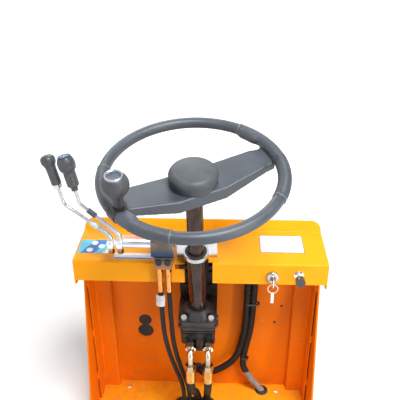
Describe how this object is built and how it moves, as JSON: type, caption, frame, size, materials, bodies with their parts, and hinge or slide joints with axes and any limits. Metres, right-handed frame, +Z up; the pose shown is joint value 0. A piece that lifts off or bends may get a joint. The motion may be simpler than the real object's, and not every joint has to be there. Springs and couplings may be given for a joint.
{
  "type": "operator's steering console of an articulated mini loader",
  "caption": "Sheet-metal operator's console with a tilted steering wheel and spinner knob, steering column, hydraulic steering unit, valve levers, hoses and switches.",
  "frame": {"origin": "centre of the base bolt pattern on the underside of the floor plate", "axes": "+Z up, +Y ahead of the operator, +X to the operator's right"},
  "size_m": [0.6386, 0.414, 0.8302],
  "materials": {
    "orange_paint": "satin",
    "black_paint": "satin",
    "black_cast": "satin",
    "zinc": "satin",
    "brass": "satin",
    "hose_rubber": "matt",
    "wheel_foam": "matt",
    "black_gloss": "gloss",
    "cap_blue": "gloss",
    "chrome": "polished",
    "loom_plastic": "matt"
  },
  "bodies": {
    "console": {"floor_plate": "orange_paint", "cheek_left": "orange_paint", "cheek_right": "orange_paint", "back_panel": "orange_paint", "dash_hood": "orange_paint", "hose_grommet": "hose_rubber", "eye_flap": "hose_rubber", "column_bush": "hose_rubber", "steering_hose_left": "hose_rubber", "steering_hose_right": "hose_rubber", "valve_hose_left": "hose_rubber", "valve_hose_right": "hose_rubber", "column_tube": "black_paint", "steering_bracket": "black_paint", "valve_pedestal": "black_paint", "column_flange": "black_cast", "bracket_bolts": "black_cast", "unit_housing": "black_cast", "unit_gear": "black_cast", "unit_cover": "black_cast", "port_adapters": "black_cast", "flange_bolts": "zinc", "column_clamp": "zinc", "hose_elbows": "zinc", "valve_body": "zinc", "valve_fittings": "zinc", "hose_ferrules": "brass", "valve_ferrules": "brass", "pull_knob": "black_gloss", "loom_inner": "loom_plastic", "loom_outer": "loom_plastic", "loom_clamp": "loom_plastic", "valve_port_block": "loom_plastic", "key_switch": "chrome", "ignition_keys": "chrome"},
    "lever_right": {"lever_right_tube": "zinc", "lever_right_hub": "zinc", "lever_right_rod": "zinc", "lever_right_grip": "black_gloss", "lever_right_cap": "cap_blue"},
    "lever_left": {"lever_left_shaft": "zinc", "lever_left_hub": "zinc", "lever_left_rod": "zinc", "lever_left_nut": "zinc", "lever_left_grip": "black_gloss"},
    "steering_wheel": {"wheel_rim": "wheel_foam", "wheel_spokes": "wheel_foam", "hub_cap": "black_gloss", "wheel_shaft": "zinc", "knob_clamp": "black_cast"},
    "spinner_knob": {"knob_ball": "black_gloss", "knob_disc": "cap_blue"}
  },
  "joints": [
    {"name": "steering_turn", "type": "hinge", "parent": "console", "child": "steering_wheel", "pos_m": [-0.0065, -0.1413, 0.7678], "axis": [0, -0.2832, 0.9591], "continuous": true},
    {"name": "knob_spin", "type": "hinge", "parent": "steering_wheel", "child": "spinner_knob", "pos_m": [-0.13298, -0.25167, 0.73521], "axis": [0, -0.2832, 0.9591], "continuous": true},
    {"name": "lever_right_tilt", "type": "hinge", "parent": "console", "child": "lever_right", "pos_m": [-0.181, -0.064, 0.559], "axis": [1, 0, 0], "range_deg": [-15, 15], "stiffness_Nm_per_rad": 6},
    {"name": "lever_left_tilt", "type": "hinge", "parent": "console", "child": "lever_left", "pos_m": [-0.202, -0.064, 0.559], "axis": [1, 0, 0], "range_deg": [-15, 15], "stiffness_Nm_per_rad": 6}
  ]
}
